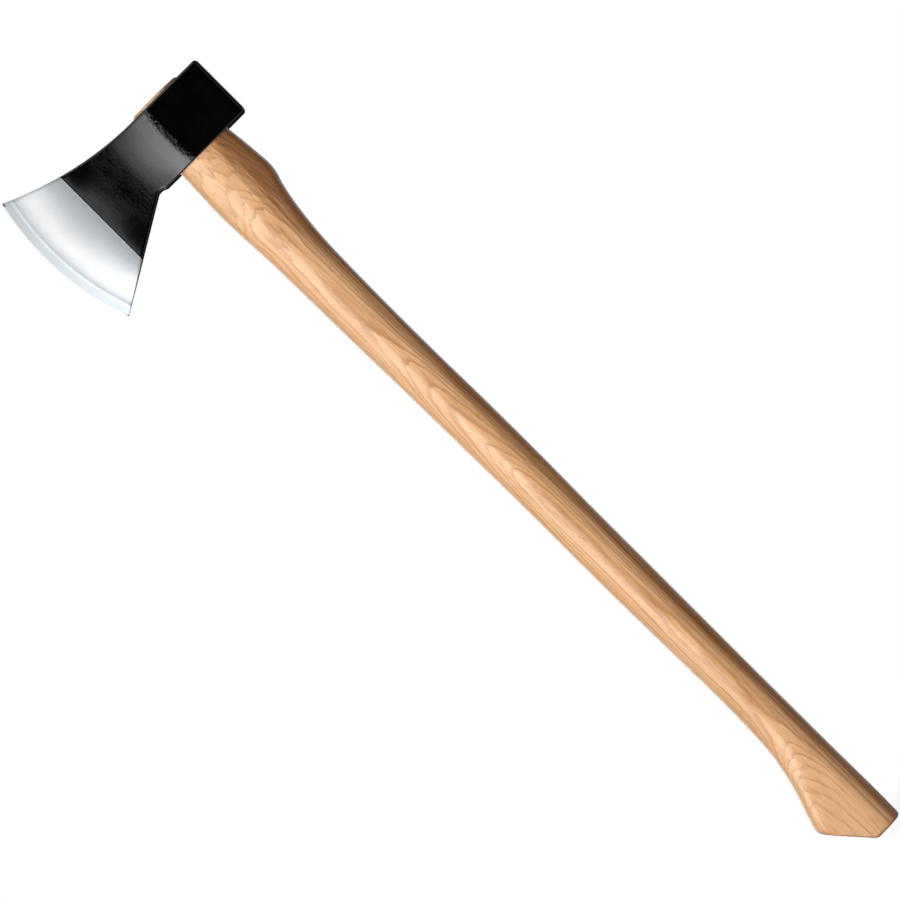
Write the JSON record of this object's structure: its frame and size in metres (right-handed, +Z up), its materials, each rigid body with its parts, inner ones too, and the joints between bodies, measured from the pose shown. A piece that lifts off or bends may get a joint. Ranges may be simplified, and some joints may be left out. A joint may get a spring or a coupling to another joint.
{
  "type": "felling axe",
  "caption": "Felling axe: forged head with a broad curved edge and a flat poll, wedged on a long curved wooden haft with a fawn's-foot knob.",
  "frame": {"origin": "the middle of the eye, in the plane of the head's underside", "axes": "+Z up along the haft with the head at the top, -X towards the cutting edge, +X towards the poll, Y across the head; Y=0 is the plane of symmetry"},
  "size_m": [0.1648, 0.03, 0.7123],
  "materials": {
    "forged_head": "gloss black paint over forged steel, with the ground bit bare and polished",
    "hickory": "pale hickory under satin lacquer",
    "wedge_wood": "hardwood, cut flush",
    "wedge_steel": "plain steel"
  },
  "bodies": {
    "root": {"axe_head": "forged_head", "haft": "hickory", "wooden_wedge": "wedge_wood", "steel_wedge": "wedge_steel"}
  },
  "joints": []
}
